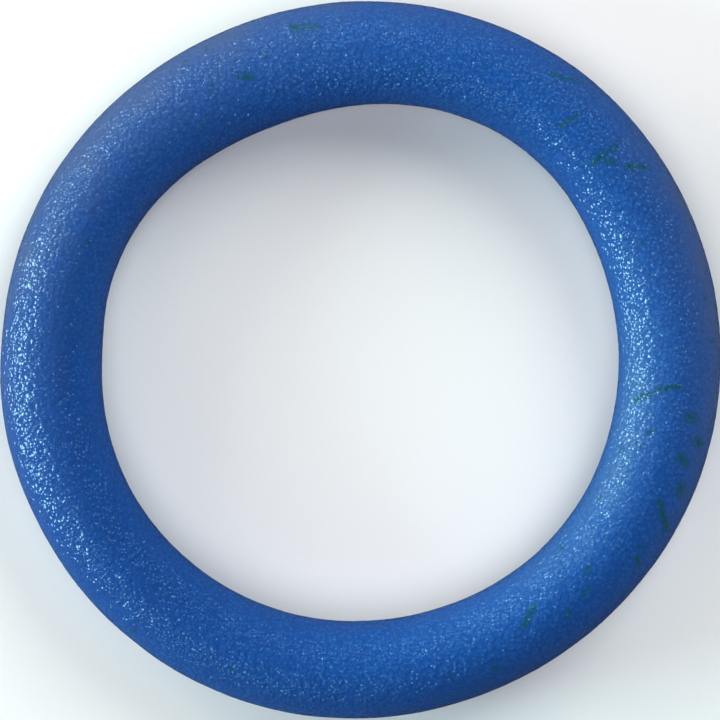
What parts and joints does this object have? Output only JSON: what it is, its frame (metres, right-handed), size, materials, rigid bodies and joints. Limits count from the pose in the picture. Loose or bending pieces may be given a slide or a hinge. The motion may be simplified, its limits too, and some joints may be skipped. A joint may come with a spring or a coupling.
{
  "type": "flying ring",
  "caption": "Soft round-section throwing ring: a moulded foam core sealed inside a pebbled elastomer skin, with an open centre to catch it by or to land it over a peg.",
  "frame": {"origin": "centre of the ring, on the surface it lies flat on", "axes": "+Z along the ring's axis, up from that surface; +X and +Y lie in the plane of the ring, +X to the right and +Y up when its worn, grass-stained face is looked at from above"},
  "size_m": [0.254, 0.254, 0.035],
  "materials": {
    "core_foam": "matte",
    "skin_elastomer": "satin"
  },
  "bodies": {
    "root": {"foam_core": "core_foam", "outer_skin": "skin_elastomer"}
  },
  "joints": []
}
